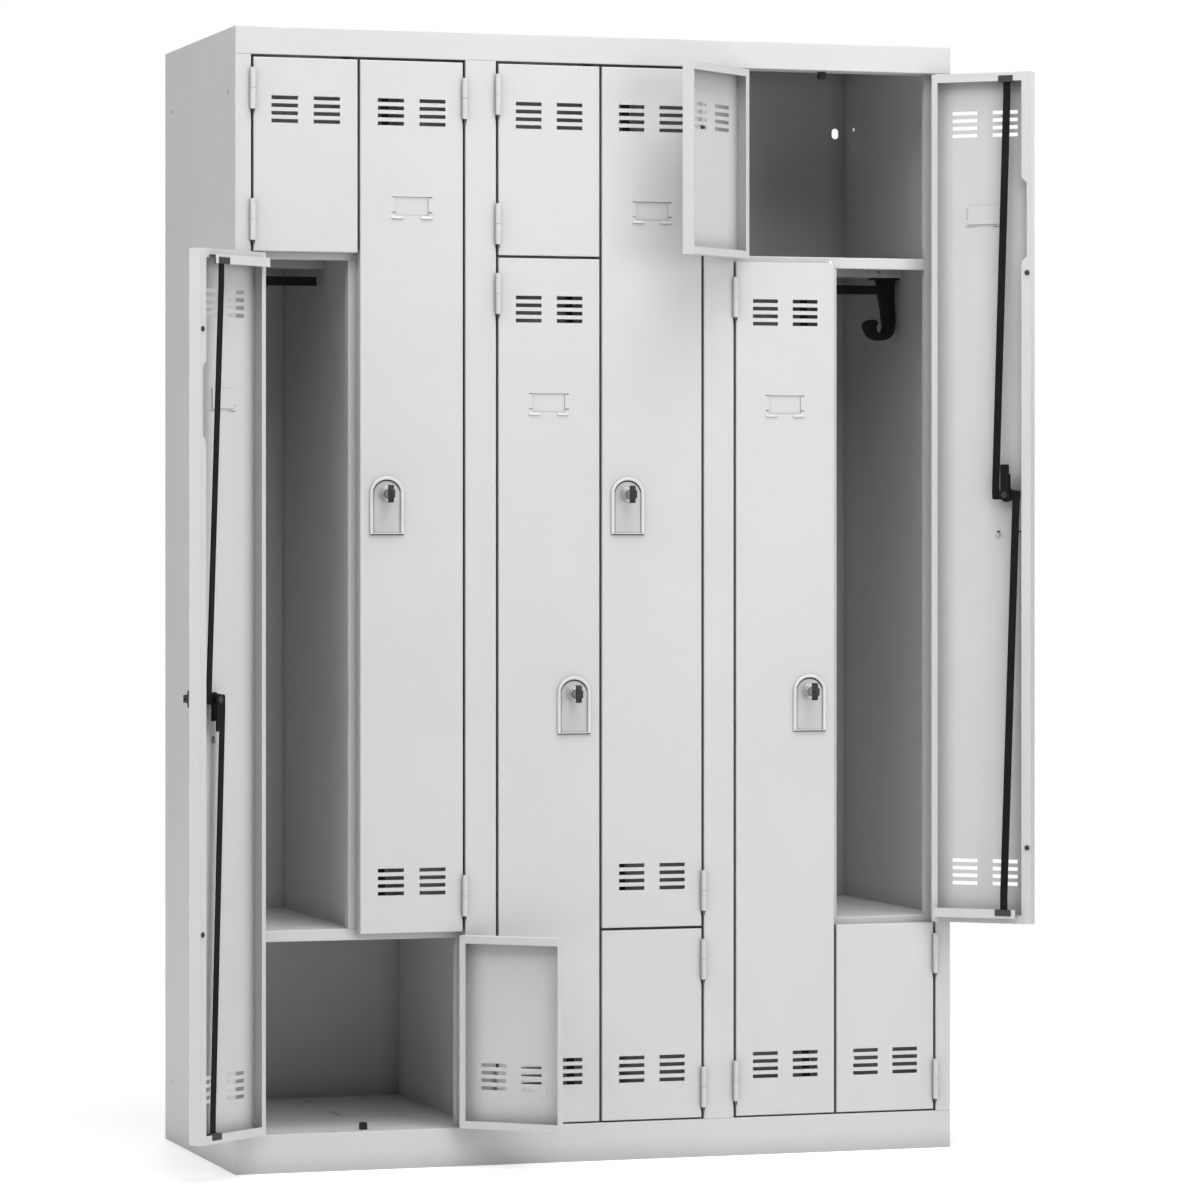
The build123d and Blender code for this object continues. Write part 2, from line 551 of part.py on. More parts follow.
def lock_housing(t):
    """Arch-topped escutcheon on the door's face, a plate with a groove and a
    raised bead round it and two clips through the sheet, the fixed lock
    barrel, and the nut behind the sheet."""
    cx, cz = t.lock_x, t.lock_z
    zb, zt = cz - RIM_BELOW, cz + RIM_ABOVE
    s = arch(cx, 28.0, zb, zt, 23.5, -2.1, 0)
    s += loft([arch_face(cx, 28.0, zb, zt, 23.5, -2.1), arch_face(cx, 26.8, zb + 1.5, zt - 1.2, 22.4, -RIM_H)], ruled=True)
    s -= loft([arch_face(cx, 23.4, zb + 2.2, zt - 4.4, 18.7, -RIM_H), arch_face(cx, 22.4, zb + 2.8, zt - 5.3, 17.9, -2.1)], ruled=True)
    s -= arch(cx, 22.4, zb + 2.8, zt - 5.3, 17.9, -2.2, -0.4)
    s += arch(cx, 21.0, zb + 2.8, zt - 7.5, 16.3, -1.0, -0.4)
    # clips at the plate's foot, hooked behind the sheet
    for d in (-1, 1):
        x = cx + d * 18.2
        s += bx(x - 2.3, x + 2.3, -0.4, T + 3.6, cz - 62.4, cz - 60.9)
        s += bx(x - 2.3, x + 2.3, T + 0.05, T + 3.6, cz - 68.0, cz - 61.6)
    s -= cyl_y(cx, cz, 9.5, -5, 3)
    flange = cyl_y(cx, cz, 12.0, -3.0, -1.0)
    flange = fillet(flange.faces().sort_by(Axis.Y)[0].edges(), 0.8)
    nose = cyl_y(cx, cz, 8.3, NOSE_Y, -2.5)
    nose = chamfer(nose.faces().sort_by(Axis.Y)[0].edges(), 0.6)
    barrel = flange + nose + cyl_y(cx, cz, 9.5, -2.0, 15.3)
    barrel -= cyl_y(cx, cz, 6.08, NOSE_Y - 2, 30)
    # hexagonal fixing nut behind the sheet
    hexa = extrude(Pos(cx, T + 0.05, cz) * Rot(90, 0, 0) * RegularPolygon(12.5, 6), amount=-3.0)
    hexa -= cyl_y(cx, cz, 9.5, 0, 22)
    return [s, barrel, hexa]


def lock_rotor(t):
    """Plug with its cam plate, tongue plate and nut, and the key."""
    cx, cz = t.lock_x, t.lock_z
    up = 1 if t.right else -1
    s = cyl_y(cx, cz, 6.0, NOSE_Y + 0.4, CAM_Y[0])
    s += cyl_y(cx, cz, 11.5, *CAM_Y)
    s += bx(cx - 23.5, cx + 23.5, *CAM_Y, cz - 6.5, cz + 6.5)
    z0, z1 = sorted((cz, cz + up * 33.5))
    s += bx(cx - 7.0, cx + 7.0, *CAM_Y, z0, z1)
    s += cyl_y(cx, cz, 5.0, CAM_Y[1], TONGUE_Y[0])
    s += cyl_y(cx, cz, 9.0, *TONGUE_Y)
    z0, z1 = sorted((cz, cz + up * TONGUE_L))
    tongue = bx(cx - 7.25, cx + 7.25, *TONGUE_Y, z0, z1)
    tip = tongue.faces().sort_by(Axis.Z)[-1 if up > 0 else 0]
    tongue = fillet(tip.edges().filter_by(Axis.Y), 1.6)
    s += tongue
    nut = extrude(Pos(cx, TONGUE_Y[1], cz) * Rot(90, 0, 0) * RegularPolygon(5.8, 6), amount=-2.4)
    s += nut + cyl_y(cx, cz, 2.6, TONGUE_Y[1], TONGUE_Y[1] + 3.0)
    # key: blade and bow, the bow with a narrow end that has the ring hole
    key = bx(cx - 1.1, cx + 1.1, -21.0, NOSE_Y + 0.4, cz - 4, cz + 4)
    half = [(-20.0, 13.9), (-32.6, 13.9), (-34.6, 6.2), (-KEY_OUT, 6.2)]
    bow = prism_yz([(y, cz + h) for y, h in half] + [(y, cz - h) for y, h in reversed(half)], cx - 3.1, cx + 3.1)
    bow = fillet(bow.edges().filter_by(Axis.X), 0.9)
    bow = fillet(bow.faces().filter_by(Axis.X).edges(), 0.4)
    bow -= cyl_x(-37.6, cz, 1.8, cx - 5, cx + 5)
    return [s, key + bow]


def rod_tip(t, upper):
    """Height of a rod's free end with the lock open."""
    if t.right:
        return t.z1 - 2.0 if upper else t.z0 + 9.35
    return t.z1 - 9.4 if upper else t.z0 + 2.0


def rod(t, upper):
    """Flat bolt rod from the cam to the door's end, cranked at both ends."""
    c, zc = t.lock_x, t.lock_z
    rail_end = upper == t.right               # this rod runs on the hinge side
    off = (-t.side if rail_end else t.side) * ARM
    ye = ROD_Y_RAIL if rail_end else ROD_Y_SHELF
    h, g = ROD_W / 2, ROD_T / 2
    yc = ROD_Y_CAM
    d = 1 if upper else -1
    tip = rod_tip(t, upper)
    za = zc + d * 16
    zb = tip - d * 38
    w0, w1 = sorted((zc - d * 7.5, za))
    s = bx(c + off - h, c + off + h, yc - g, yc + g, w0, w1)
    f0, f1 = sorted((c + off, c + (7.0 if off > 0 else -7.0)))
    w0, w1 = sorted((zc - d * 7.5, zc + d * 6.5))
    s += bx(f0, f1, yc - g, yc + g, w0, w1)
    # the far corner of the rod's bent end is rounded
    far = c + off + (h if off > 0 else -h)
    s = fillet([e for e in s.edges().filter_by(Axis.Y)
                if abs(e.center().X - far) < 0.01 and abs(e.center().Z - (zc - d * 7.5)) < 0.01], 4.0)
    lo = Pos(c + off, yc, za) * Rectangle(ROD_W, ROD_T)
    hi = Pos(c, ye, zb) * Rectangle(ROD_W, ROD_T)
    s += loft([lo, hi] if upper else [hi, lo], ruled=True)
    w0, w1 = sorted((zb, tip))
    s += bx(c - h, c + h, ye - g, ye + g, w0, w1)
    # rivet head over the cam's arm
    s += cyl_y(c + off, zc, 3.6, yc + g, yc + g + 1.2)
    return s


def rod_guides(t):
    """Black moulded parts of a tall door: two rod guides and two buffers."""
    out = []
    h, g, cl = ROD_W / 2, ROD_T / 2, 0.35

    def slot(y):
        return bx(t.lock_x - h - cl, t.lock_x + h + cl, y - g - cl, y + g + cl, t.z0 - 5, t.z1 + 5)

    z0, z1 = zspan(t.rail_z, t.rail_dir, 5.0, 15.5)
    out.append(bx(t.lock_x - 12.5, t.lock_x + 12.5, ROD_Y_RAIL - 3, DOOR_T, z0, z1) - slot(ROD_Y_RAIL))
    z0, z1 = zspan(t.shelf_z, t.shelf_dir, 13.4, 23.2)
    out.append(bx(t.lock_x - 13.2, t.lock_x + 13.2, ROD_Y_SHELF - 3, STRIP_Y + 1.3, z0, z1) - slot(ROD_Y_SHELF))
    for z in t.buffers:
        x = t.xh + t.side * 164.3
        out.append(cyl_y(x, z, 4.0, DOOR_T, STOP_Y - 0.1) - cyl_y(x, z, 1.3, STOP_Y - 0.9, STOP_Y))
    return out


# --------------------------------------------------------------------- build
write("side_panel_left", [to_row(side_panel(True))])
write("side_panel_right", [to_row(side_panel(False))])
part_ = partition()
write("bay_partition_1", [to_row(part_)])
write("bay_partition_2", [to_row(part_, BAY)])
write("back_panel", [to_row(back_panel())])
write("top_panel", [to_row(top_panel())])
write("base_panel", [to_row(base_panel())])
div_ = centre_divider()
write("centre_dividers", [to_row(div_, BAY * k) for k in range(BAYS)])
for k in range(BAYS):
    write(f"upper_shelf_{k + 1}", [to_row(upper_shelf(k == 0, k == BAYS - 1), BAY * k)])
    write(f"lower_shelf_{k + 1}", [to_row(lower_shelf(k == 0, k == BAYS - 1), BAY * k)])
hook_r = coat_hook()
hook_l = Pos(BAY, 0, 0) * mirror(hook_r, about=Plane.YZ)
write("coat_hooks", [to_row(h, BAY * k) for k in range(BAYS) for h in (hook_l, hook_r)])
stop_b = door_stop()
stop_t = Pos(BAY, 0, TOP_RAIL_Z + BASE_RAIL_Z) * mirror(mirror(stop_b, about=Plane.YZ), about=Plane.XY)
write("door_stops", [to_row(s, BAY * k) for k in range(BAYS) for s in (stop_b, stop_t)])

screws_ = [shelf_screw(BAY / 2, STOP_Y, z) for z in SCREW_Z]
screws_ += [shelf_screw(x, HAT_Y[0], HOOK_TOP + 9.2) for x in HAT_SCREWS]
write("shelf_screws", [to_row(s, BAY * k) for k in range(BAYS) for s in screws_])

leaves_ = []
for name, xh, side, (z0, z1), tall in (("small_top", X_L, 1, Z_TOP, False), ("tall_left", X_L, 1, Z_TALL_L, True),
                                       ("tall_right", X_R, -1, Z_TALL_R, True), ("small_bottom", X_R, -1, Z_BOTTOM, False)):
    for zc in hinge_z(z0, z1, tall):
        leaves_.append(frame_leaf(xh, side, zc))
write("hinge_frame_halves", [to_row(s, BAY * k) for k in range(BAYS) for s in leaves_])


def placed(shapes, k, kind, xh, side):
    """Door pieces in their rest position: closed, or swung open."""
    out = []
    for s in shapes:
        if (k, kind) in OPEN_DOORS:
            s = s.rotate(Axis((xh, HINGE_Y, 0), (0, 0, 1)), -side * OPEN_DEG)
        out.append(to_row(s, BAY * k))
    return out


top_ = small_door(X_L, 1, *Z_TOP, True)
bottom_ = small_door(X_R, -1, *Z_BOTTOM, False)
for k in range(BAYS):
    write(f"door_{k + 1}_small_top", placed(top_, k, "small_top", X_L, 1))
    write(f"door_{k + 1}_small_bottom", placed(bottom_, k, "small_bottom", X_R, -1))
for kind, word in (("tall_left", "left"), ("tall_right", "right")):
    t = Tall(kind)
    panel_, housing_, rotor_ = tall_door(t), lock_housing(t), lock_rotor(t)
    up_, low_, guides_ = rod(t, True), rod(t, False), rod_guides(t)
    for k in range(BAYS):
        write(f"door_{k + 1}_{kind}", placed(panel_, k, kind, t.xh, t.side))
        write(f"lock_housing_{k + 1}_{word}", placed(housing_, k, kind, t.xh, t.side))
        write(f"lock_cam_key_{k + 1}_{word}", placed(rotor_, k, kind, t.xh, t.side))
        write(f"bolt_rod_upper_{k + 1}_{word}", placed([up_], k, kind, t.xh, t.side))
        write(f"bolt_rod_lower_{k + 1}_{word}", placed([low_], k, kind, t.xh, t.side))
        write(f"guides_buffers_{k + 1}_{word}", placed(guides_, k, kind, t.xh, t.side))
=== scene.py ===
import math

import bmesh
import bpy
from mathutils import Matrix, Vector

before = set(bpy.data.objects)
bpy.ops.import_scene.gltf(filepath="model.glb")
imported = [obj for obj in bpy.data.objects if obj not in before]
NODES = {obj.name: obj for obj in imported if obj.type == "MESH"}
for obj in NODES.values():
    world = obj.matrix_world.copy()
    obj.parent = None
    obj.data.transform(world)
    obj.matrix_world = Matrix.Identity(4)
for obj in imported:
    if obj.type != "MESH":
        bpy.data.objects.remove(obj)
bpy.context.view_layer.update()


# ------------------------------------------------------------------ materials
def new_material(name):
    m = bpy.data.materials.new(name)
    m.use_nodes = True
    nt = m.node_tree
    nt.nodes.clear()
    out = nt.nodes.new("ShaderNodeOutputMaterial")
    bsdf = nt.nodes.new("ShaderNodeBsdfPrincipled")
    nt.links.new(bsdf.outputs[0], out.inputs[0])
    return m, nt, bsdf


def noise(nt, coord, scale, detail=2.0, rough=0.5):
    n = nt.nodes.new("ShaderNodeTexNoise")
    n.inputs["Scale"].default_value = scale
    n.inputs["Detail"].default_value = detail
    n.inputs["Roughness"].default_value = rough
    nt.links.new(coord, n.inputs["Vector"])
    return n.outputs["Fac"]


def ramp(nt, fac, stops):
    r = nt.nodes.new("ShaderNodeValToRGB")
    el = r.color_ramp.elements
    while len(el) < len(stops):
        el.new(0.5)
    for e, (p, c) in zip(el, stops):
        e.position = p
        e.color = (c, c, c, 1.0) if not isinstance(c, tuple) else (*c, 1.0)
    nt.links.new(fac, r.inputs[0])
    return r.outputs[0]


def map_range(nt, v, a0, a1, b0, b1):
    n = nt.nodes.new("ShaderNodeMapRange")
    n.inputs[1].default_value = a0
    n.inputs[2].default_value = a1
    n.inputs[3].default_value = b0
    n.inputs[4].default_value = b1
    nt.links.new(v, n.inputs[0])
    return n.outputs[0]


def bump(nt, height, strength, distance, normal=None):
    b = nt.nodes.new("ShaderNodeBump")
    b.inputs["Strength"].default_value = strength
    b.inputs["Distance"].default_value = distance
    nt.links.new(height, b.inputs["Height"])
    if normal is not None:
        nt.links.new(normal, b.inputs["Normal"])
    return b.outputs[0]


def shaded(nt, color, distance, amount):
    """Darken a colour in gaps and inner corners, where light hardly gets."""
    ao = nt.nodes.new("ShaderNodeAmbientOcclusion")
    ao.samples = 6
    ao.inputs["Distance"].default_value = distance
    nt.links.new(color, ao.inputs["Color"])
    mix = nt.nodes.new("ShaderNodeMix")
    mix.data_type = "RGBA"
    mix.inputs[0].default_value = amount
    nt.links.new(color, mix.inputs[6])
    nt.links.new(ao.outputs["Color"], mix.inputs[7])
    return mix.outputs[2]


def powder_coat(name, color, edge=0.0007, rough=0.42):
    """Powder-coated steel sheet: fine orange peel, faint cloudiness, and folds
    with a small radius."""
    m, nt, bsdf = new_material(name)
    obj = nt.nodes.new("ShaderNodeTexCoord").outputs["Object"]
    peel = noise(nt, obj, 900.0, 3.0, 0.55)
    wave = noise(nt, obj, 210.0, 2.0, 0.5)
    cloud = noise(nt, obj, 6.0, 3.0, 0.55)
    speck = noise(nt, obj, 2600.0, 1.0, 0.4)
    # colour: base with a faint cloud and a very fine speckle
    mix = nt.nodes.new("ShaderNodeMix")
    mix.data_type = "RGBA"
    mix.inputs[6].default_value = (*[c * 0.965 for c in color], 1)
    mix.inputs[7].default_value = (*[min(1, c * 1.03) for c in color], 1)
    blend = nt.nodes.new("ShaderNodeMath")
    blend.operation = "MULTIPLY_ADD"
    nt.links.new(speck, blend.inputs[0])
    blend.inputs[1].default_value = 0.45
    nt.links.new(map_range(nt, cloud, 0.3, 0.7, 0.0, 0.55), blend.inputs[2])
    nt.links.new(blend.outputs[0], mix.inputs[0])
    # painted shade: the coat colour is darkened by up to 45 percent within 35 mm of gaps and inner corners
    nt.links.new(shaded(nt, mix.outputs[2], 0.035, 0.45), bsdf.inputs["Base Color"])
    nt.links.new(map_range(nt, peel, 0.2, 0.8, rough - 0.05, rough + 0.07), bsdf.inputs["Roughness"])
    bsdf.inputs["IOR"].default_value = 1.5
    # relief: rounded edges first, then wave and peel
    bev = nt.nodes.new("ShaderNodeBevel")
    bev.samples = 4
    bev.inputs["Radius"].default_value = edge
    n1 = bump(nt, wave, 0.10, 0.0004, bev.outputs[0])
    n2 = bump(nt, peel, 0.16, 0.00012, n1)
    nt.links.new(n2, bsdf.inputs["Normal"])
    return m


def black_steel(name):
    m, nt, bsdf = new_material(name)
    obj = nt.nodes.new("ShaderNodeTexCoord").outputs["Object"]
    grain = noise(nt, obj, 1400.0, 3.0, 0.6)
    cloud = noise(nt, obj, 25.0, 3.0, 0.6)
    mix = nt.nodes.new("ShaderNodeMix")
    mix.data_type = "RGBA"
    mix.inputs[6].default_value = (0.0025, 0.0025, 0.0025, 1)
    mix.inputs[7].default_value = (0.007, 0.007, 0.0065, 1)
    nt.links.new(map_range(nt, cloud, 0.3, 0.7, 0.0, 1.0), mix.inputs[0])
    nt.links.new(mix.outputs[2], bsdf.inputs["Base Color"])
    nt.links.new(map_range(nt, grain, 0.2, 0.8, 0.38, 0.6), bsdf.inputs["Roughness"])
    bsdf.inputs["Specular IOR Level"].default_value = 0.22
    bev = nt.nodes.new("ShaderNodeBevel")
    bev.samples = 4
    bev.inputs["Radius"].default_value = 0.0004
    nt.links.new(bump(nt, grain, 0.25, 0.0001, bev.outputs[0]), bsdf.inputs["Normal"])
    return m


def black_plastic(name, color=(0.010, 0.010, 0.010)):
    m, nt, bsdf = new_material(name)
    obj = nt.nodes.new("ShaderNodeTexCoord").outputs["Object"]
    grain = noise(nt, obj, 1100.0, 4.0, 0.65)
    cloud = noise(nt, obj, 40.0, 2.0, 0.5)
    mix = nt.nodes.new("ShaderNodeMix")
    mix.data_type = "RGBA"
    mix.inputs[6].default_value = (*[c * 0.8 for c in color], 1)
    mix.inputs[7].default_value = (*[c * 1.5 for c in color], 1)
    nt.links.new(cloud, mix.inputs[0])
    nt.links.new(mix.outputs[2], bsdf.inputs["Base Color"])
    nt.links.new(map_range(nt, grain, 0.2, 0.8, 0.42, 0.62), bsdf.inputs["Roughness"])
    bsdf.inputs["Specular IOR Level"].default_value = 0.3
    bev = nt.nodes.new("ShaderNodeBevel")
    bev.samples = 4
    bev.inputs["Radius"].default_value = 0.0008
    nt.links.new(bump(nt, grain, 0.3, 0.00015, bev.outputs[0]), bsdf.inputs["Normal"])
    return m


def moulded(name, color, rough=0.3):
    """Moulded light plastic: smooth, slightly glossy, with a fine mould grain
    and rounded edges."""
    m, nt, bsdf = new_material(name)
    obj = nt.nodes.new("ShaderNodeTexCoord").outputs["Object"]
    grain = noise(nt, obj, 1300.0, 3.0, 0.6)
    flow = noise(nt, obj, 55.0, 2.0, 0.5)
    mix = nt.nodes.new("ShaderNodeMix")
    mix.data_type = "RGBA"
    mix.inputs[6].default_value = (*[c * 0.96 for c in color], 1)
    mix.inputs[7].default_value = (*[min(1, c * 1.04) for c in color], 1)
    nt.links.new(flow, mix.inputs[0])
    # painted shade: the plastic colour is darkened by up to 55 percent within 5 mm of gaps and inner corners
    nt.links.new(shaded(nt, mix.outputs[2], 0.005, 0.55), bsdf.inputs["Base Color"])
    nt.links.new(map_range(nt, grain, 0.2, 0.8, rough - 0.04, rough + 0.08), bsdf.inputs["Roughness"])
    bev = nt.nodes.new("ShaderNodeBevel")
    bev.samples = 4
    bev.inputs["Radius"].default_value = 0.0006
    nt.links.new(bump(nt, grain, 0.12, 0.00008, bev.outputs[0]), bsdf.inputs["Normal"])
    return m


def plated(name, color=(0.62, 0.61, 0.59), rough=0.28, metallic=1.0):
    m, nt, bsdf = new_material(name)
    obj = nt.nodes.new("ShaderNodeTexCoord").outputs["Object"]
    grain = noise(nt, obj, 1800.0, 3.0, 0.6)
    mix = nt.nodes.new("ShaderNodeMix")
    mix.data_type = "RGBA"
    mix.inputs[6].default_value = (*[c * 0.85 for c in color], 1)
    mix.inputs[7].default_value = (*[min(1, c * 1.1) for c in color], 1)
    nt.links.new(grain, mix.inputs[0])
    nt.links.new(mix.outputs[2], bsdf.inputs["Base Color"])
    bsdf.inputs["Metallic"].default_value = metallic
    nt.links.new(map_range(nt, grain, 0.2, 0.8, rough - 0.06, rough + 0.1), bsdf.inputs["Roughness"])
    nt.links.new(bump(nt, grain, 0.15, 0.00006), bsdf.inputs["Normal"])
    return m


GREY = (0.652, 0.637, 0.628)
COAT = powder_coat("powder_coat_light_grey", GREY)
STEEL = black_steel("black_coated_steel")
PLASTIC = black_plastic("black_moulded_plastic")
ZINC = plated("zinc_plate")
HOUSING = moulded("escutcheon_light_grey", tuple(0.84 * c for c in GREY), 0.30)
# painted highlight: the bead's front is coloured lighter than the rest of the escutcheon, standing for the
# highlight along it
BEAD_PAINTED_HIGHLIGHT = moulded("escutcheon_bead_painted_highlight", tuple(1.13 * c for c in GREY), 0.22)
# painted shade: near-black finish for the escutcheon's top groove, the back of its plate and the underside of its
# foot
PAINTED_GAP_SHADE = black_plastic("painted_gap_shade", (0.022, 0.022, 0.022))
NICKEL = plated("satin_nickel", (0.58, 0.57, 0.55), 0.40, 0.6)
DARK_NUT = plated("dark_zinc_nut", (0.30, 0.295, 0.29), 0.38)
CAM_NUT = plated("black_zinc_nut", (0.15, 0.148, 0.143), 0.34)
KEY_BLACK = black_plastic("key_bow_black", (0.030, 0.029, 0.028))
BUFFER = black_plastic("grey_black_buffer", (0.045, 0.045, 0.045))


def paint(ob, mat):
    ob.data.materials.clear()
    ob.data.materials.append(mat)


# door frame: hinge axis, side and swing of the tall doors, as the CAD has them
HINGE_OFF, HINGE_Y, OPEN_DEG = 0.0274, -0.2546, 140.5
LOCK_ALONG, LOCK_Z = 0.1275, {"left": 0.7485, "right": 1.06705}
OPEN_TALL = {(1, "left"), (3, "right")}


def door_frame(k, word):
    """Matrix from a closed door's frame (as if it were shut) to where it rests."""
    side = 1 if word == "left" else -1
    xh = -0.6 + 0.4 * (k - 1) + (HINGE_OFF if side > 0 else 0.4 - HINGE_OFF)
    if (k, word) not in OPEN_TALL:
        return Matrix.Identity(4), xh, side
    piv = Vector((xh, HINGE_Y, 0))
    rot = Matrix.Rotation(math.radians(-side * OPEN_DEG), 4, "Z")
    return Matrix.Translation(piv) @ rot @ Matrix.Translation(-piv), xh, side


def lock_coords(ob, k, word):
    """Vertices of a lock node as (radius from the lock axis, depth behind the
    door's face, height over the axis), all in mm."""
    mat, xh, side = door_frame(k, word)
    inv = mat.inverted()
    cx, cz = xh + side * LOCK_ALONG, LOCK_Z[word]
    out = []
    for v in ob.data.vertices:
        p = inv @ v.co
        out.append((1000 * math.hypot(p.x - cx, p.z - cz), 1000 * (p.y + 0.25), 1000 * (p.z - cz)))
    return out


def paint_zones(ob, mats, rd, zone):
    """Give each face the finish that zone() picks from its vertices."""
    ob.data.materials.clear()
    for m in mats:
        ob.data.materials.append(m)
    for poly in ob.data.polygons:
        rs = [rd[i] for i in poly.vertices]
        poly.material_index = zone(rs)


def housing_zone(rs):
    # painted shade: the back of the plate, the groove over it and the underside of its foot take a near-black
    # finish that stands for the shade there
    if all(abs(d) < 0.02 for r, d, h in rs) or all(-0.45 < d < -0.35 and 12.2 < r < 26 for r, d, h in rs):
        return 3
    if all(h < -63.4 and d < 0.1 for r, d, h in rs) and max(d for r, d, h in rs) > -3.6:
        return 3
    # painted highlight: the bead's front faces take the lighter bead colour
    if all(r > 15 and d < -2.05 for r, d, h in rs):
        return 4
    if all(r < 12.7 and 0.9 < d < 4.2 for r, d, h in rs) or all(d < -12.4 for r, d, h in rs):
        return 2
    if all(r < 12.1 and d > -13 for r, d, h in rs):
        return 1
    return 0


def key_zone(rs):
    if sum(q[1] for q in rs) / len(rs) < -19:
        return 1
    if max(q[1] for q in rs) < 15.7 and max(q[0] for q in rs) < 6.1:
        return 2
    if min(q[1] for q in rs) > 26.9 and 2.5 < min(q[0] for q in rs) and max(q[0] for q in rs) < 5.9:
        return 3
    return 0


for name, ob in NODES.items():
    if name.startswith("lock_cam_key"):
        k, word = int(name.split("_")[3]), name.split("_")[4]
        paint_zones(ob, (STEEL, KEY_BLACK, NICKEL, CAM_NUT), lock_coords(ob, k, word), key_zone)
    elif name.startswith("lock_housing"):
        k, word = int(name.split("_")[2]), name.split("_")[3]
        paint_zones(ob, (HOUSING, NICKEL, DARK_NUT, PAINTED_GAP_SHADE, BEAD_PAINTED_HIGHLIGHT), lock_coords(ob, k, word), housing_zone)
    elif name.startswith("bolt_rod"):
        paint(ob, STEEL)
    elif name.startswith("guides_buffers"):
        paint(ob, BUFFER)
    elif name.startswith(("door_stops", "coat_hooks")):
        paint(ob, PLASTIC)
    elif name.startswith("shelf_screws"):
        paint(ob, ZINC)
    else:
        paint(ob, COAT)


# -------------------------------------------------------------- floor and sky
def stage_floor():
    me = bpy.data.meshes.new("floor")
    bm = bmesh.new()
    bmesh.ops.create_circle(bm, cap_ends=True, radius=60.0, segments=96)
    bm.to_mesh(me)
    bm.free()
    ob = bpy.data.objects.new("floor", me)
    bpy.context.scene.collection.objects.link(ob)
    m, nt, bsdf = new_material("pale_floor")
    bsdf.inputs["Base Color"].default_value = (0.86, 0.86, 0.86, 1)
    bsdf.inputs["Roughness"].default_value = 0.85
    bsdf.inputs["Specular IOR Level"].default_value = 0.1
    # the studio sweep: the floor runs out into plain white away from the object
    geo = nt.nodes.new("ShaderNodeTexCoord").outputs["Object"]
    ln = nt.nodes.new("ShaderNodeVectorMath")
    ln.operation = "LENGTH"
    nt.links.new(geo, ln.inputs[0])
    fac = map_range(nt, ln.outputs["Value"], 0.75, 2.6, 0.0, 1.0)
    em = nt.nodes.new("ShaderNodeEmission")
    em.inputs[0].default_value = (1.0, 1.0, 1.0, 1)
    em.inputs[1].default_value = 1.0
    seen = nt.nodes.new("ShaderNodeLightPath").outputs["Is Camera Ray"]
    far = nt.nodes.new("ShaderNodeMath")
    far.operation = "MULTIPLY"
    nt.links.new(fac, far.inputs[0])
    nt.links.new(seen, far.inputs[1])
    # the sweep glows a little, so only the contact shadow is darker than white
    glow = nt.nodes.new("ShaderNodeEmission")
    glow.inputs[0].default_value = (1.0, 1.0, 1.0, 1)
    lift = nt.nodes.new("ShaderNodeMath")
    lift.operation = "MULTIPLY"
    nt.links.new(seen, lift.inputs[0])
    lift.inputs[1].default_value = 0.34
    nt.links.new(lift.outputs[0], glow.inputs[1])
    both = nt.nodes.new("ShaderNodeAddShader")
    nt.links.new(bsdf.outputs[0], both.inputs[0])
    nt.links.new(glow.outputs[0], both.inputs[1])
    mx = nt.nodes.new("ShaderNodeMixShader")
    out = [n for n in nt.nodes if n.type == "OUTPUT_MATERIAL"][0]
    nt.links.new(far.outputs[0], mx.inputs[0])
    nt.links.new(both.outputs[0], mx.inputs[1])
    nt.links.new(em.outputs[0], mx.inputs[2])
    nt.links.new(mx.outputs[0], out.inputs[0])
    paint(ob, m)
    return ob


stage_floor()

world = bpy.data.worlds.new("studio")
bpy.context.scene.world = world
world.use_nodes = True
wt = world.node_tree
wt.nodes.clear()
w_out = wt.nodes.new("ShaderNodeOutputWorld")
w_amb = wt.nodes.new("ShaderNodeBackground")
w_amb.inputs[0].default_value = (1.0, 1.0, 1.0, 1)
w_amb.inputs[1].default_value = 0.02
w_see = wt.nodes.new("ShaderNodeBackground")
w_see.inputs[0].default_value = (1.0, 1.0, 1.0, 1)
w_see.inputs[1].default_value = 1.0
w_mix = wt.nodes.new("ShaderNodeMixShader")
w_path = wt.nodes.new("ShaderNodeLightPath")
wt.links.new(w_path.outputs["Is Camera Ray"], w_mix.inputs[0])
wt.links.new(w_amb.outputs[0], w_mix.inputs[1])
wt.links.new(w_see.outputs[0], w_mix.inputs[2])
wt.links.new(w_mix.outputs[0], w_out.inputs[0])


def area_light(name, az, el, dist, size, power, target=(0.0, -0.2, 0.9), color=(1, 1, 1), size_y=None):
    """Soft box at azimuth az (0 in front, positive to the right) and
    elevation el, in degrees, aimed at the target."""
    li = bpy.data.lights.new(name, "AREA")
    li.shape = "RECTANGLE" if size_y else "SQUARE"
    li.size = size
    if size_y:
        li.size_y = size_y
    li.energy = power
    li.color = color
    ob = bpy.data.objects.new(name, li)
    bpy.context.scene.collection.objects.link(ob)
    t = Vector(target)
    a, e = math.radians(az), math.radians(el)
    d = Vector((math.sin(a) * math.cos(e), -math.cos(a) * math.cos(e), math.sin(e)))
    ob.location = t + d * dist
    ob.rotation_euler = (-d).to_track_quat("-Z", "Y").to_euler()
    return ob


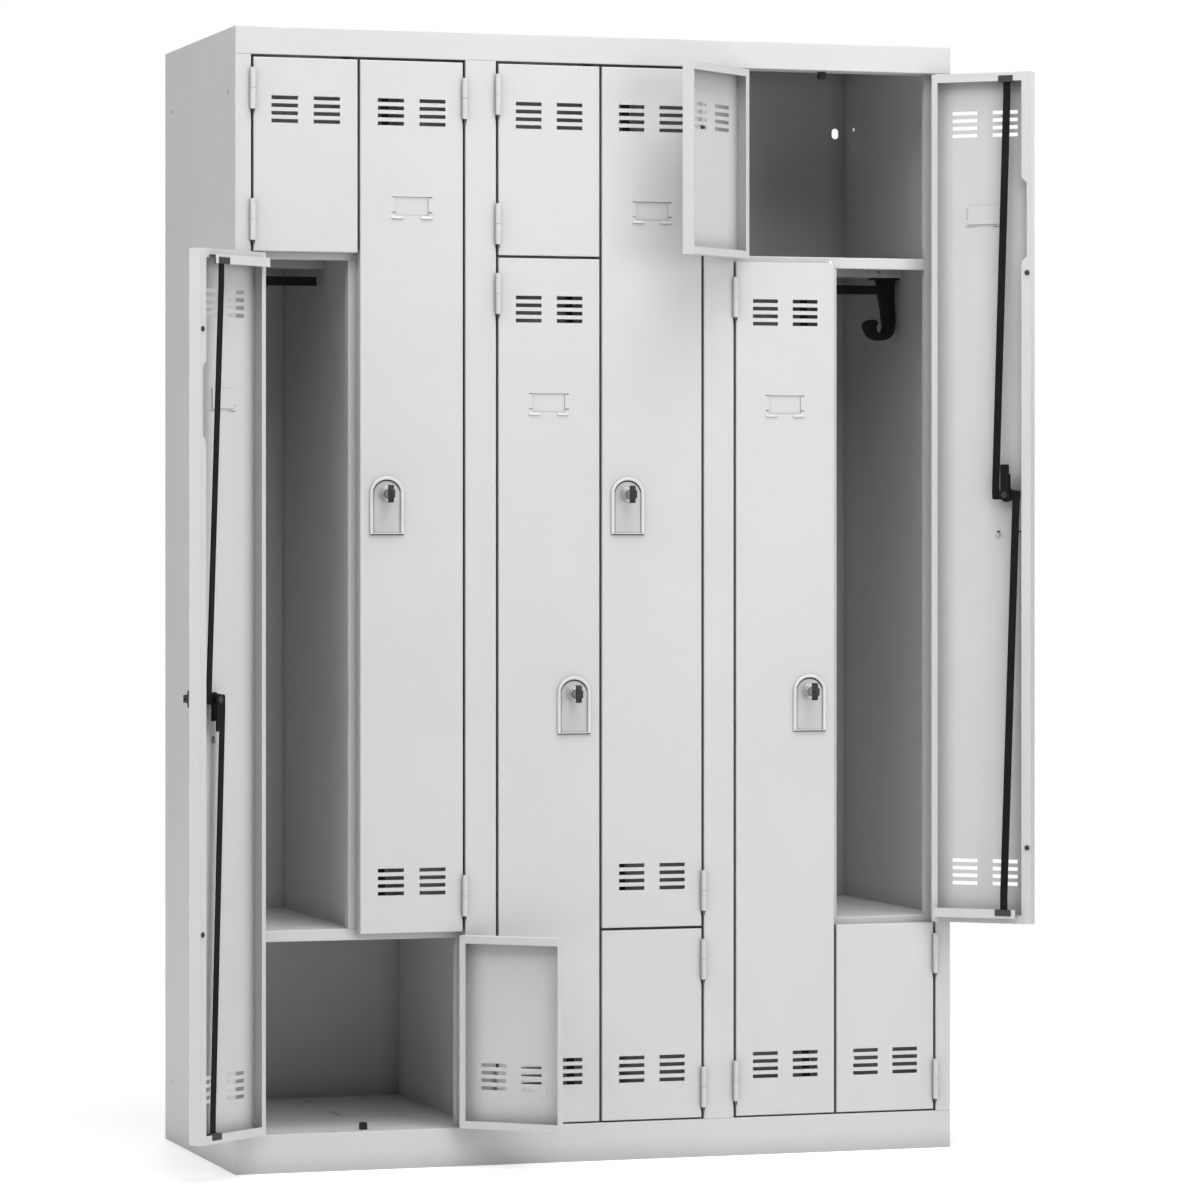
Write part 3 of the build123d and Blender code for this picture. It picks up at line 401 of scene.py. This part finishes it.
COOL = (0.972, 1.0, 1.012)
WARM = (1.0, 0.982, 0.948)
area_light("left_wall", -90, 10, 5.0, 2.4, 74, color=WARM)
area_light("left_high", -60, 40, 5.0, 2.4, 56, color=COOL)
area_light("left_front", -30, 40, 5.0, 2.4, 8, color=COOL)
area_light("front_high", 0, 40, 5.0, 2.4, 56, color=COOL)
area_light("overhead_front", 0, 70, 5.0, 2.4, 78, color=COOL)
area_light("right_low", 30, 10, 5.0, 2.4, 62, color=COOL)
area_light("overhead_right", 30, 70, 5.0, 2.4, 90, color=COOL)
area_light("right_side", 60, 10, 5.0, 2.4, 14, color=COOL)
# behind the object, for its back and right side
area_light("rear", 180, 35, 5.5, 2.6, 120, color=COOL)
area_light("rear_side", 122, 20, 5.5, 2.6, 60, color=COOL)



def fill_light(name, loc, power):
    """Faint fill inside a compartment, so that its vents don't read as holes
    into nothing."""
    li = bpy.data.lights.new(name, "POINT")
    li.energy = power
    li.shadow_soft_size = 0.05
    li.color = WARM
    ob = bpy.data.objects.new(name, li)
    bpy.context.scene.collection.objects.link(ob)
    ob.location = loc
    ob.visible_camera = False
    return ob


for k in range(3):
    x0 = -0.6 + 0.4 * k
    for name, x, y, z, power in (("top", 0.2, 0.10, 1.60, 0.10), ("bottom", 0.2, 0.10, 0.21, 0.10),
                                 ("right_column_top", 0.30, 0.10, 1.30, 0.08), ("right_column_low", 0.30, 0.10, 0.55, 0.08),
                                 ("left_column_top", 0.10, 0.10, 1.25, 0.08), ("left_column_low", 0.10, 0.10, 0.60, 0.08)):
        if (k, name.split("_")[0]) in ((0, "left"), (0, "bottom"), (2, "top"), (2, "right")):
            continue
        fill_light(f"fill_{k + 1}_{name}", (x0 + x, y, z), power)

# soft fill under the shelf of the open bottom box, for its floor
box_fill = area_light("box_floor_fill", 0, 90, 0.30, 0.27, 0.024, target=(-0.4, 0.0, 0.06), color=WARM, size_y=0.34)
box_fill.visible_camera = False


# --------------------------------------------------------------------- camera
cam = bpy.data.cameras.new("camera")
cam.sensor_width = 36.0
cam.lens = 151.0
cam.shift_y = -0.0554
cam.clip_end = 200.0
cam_ob = bpy.data.objects.new("camera", cam)
cam_ob.location = (-2.4298, -7.9356, 1.0044)
cam_ob.rotation_euler = (math.radians(90.0), 0.0, math.radians(-17.536))
bpy.context.scene.collection.objects.link(cam_ob)
bpy.context.scene.camera = cam_ob

vs = bpy.context.scene.view_settings
vs.view_transform = "Standard"
vs.look = "None"
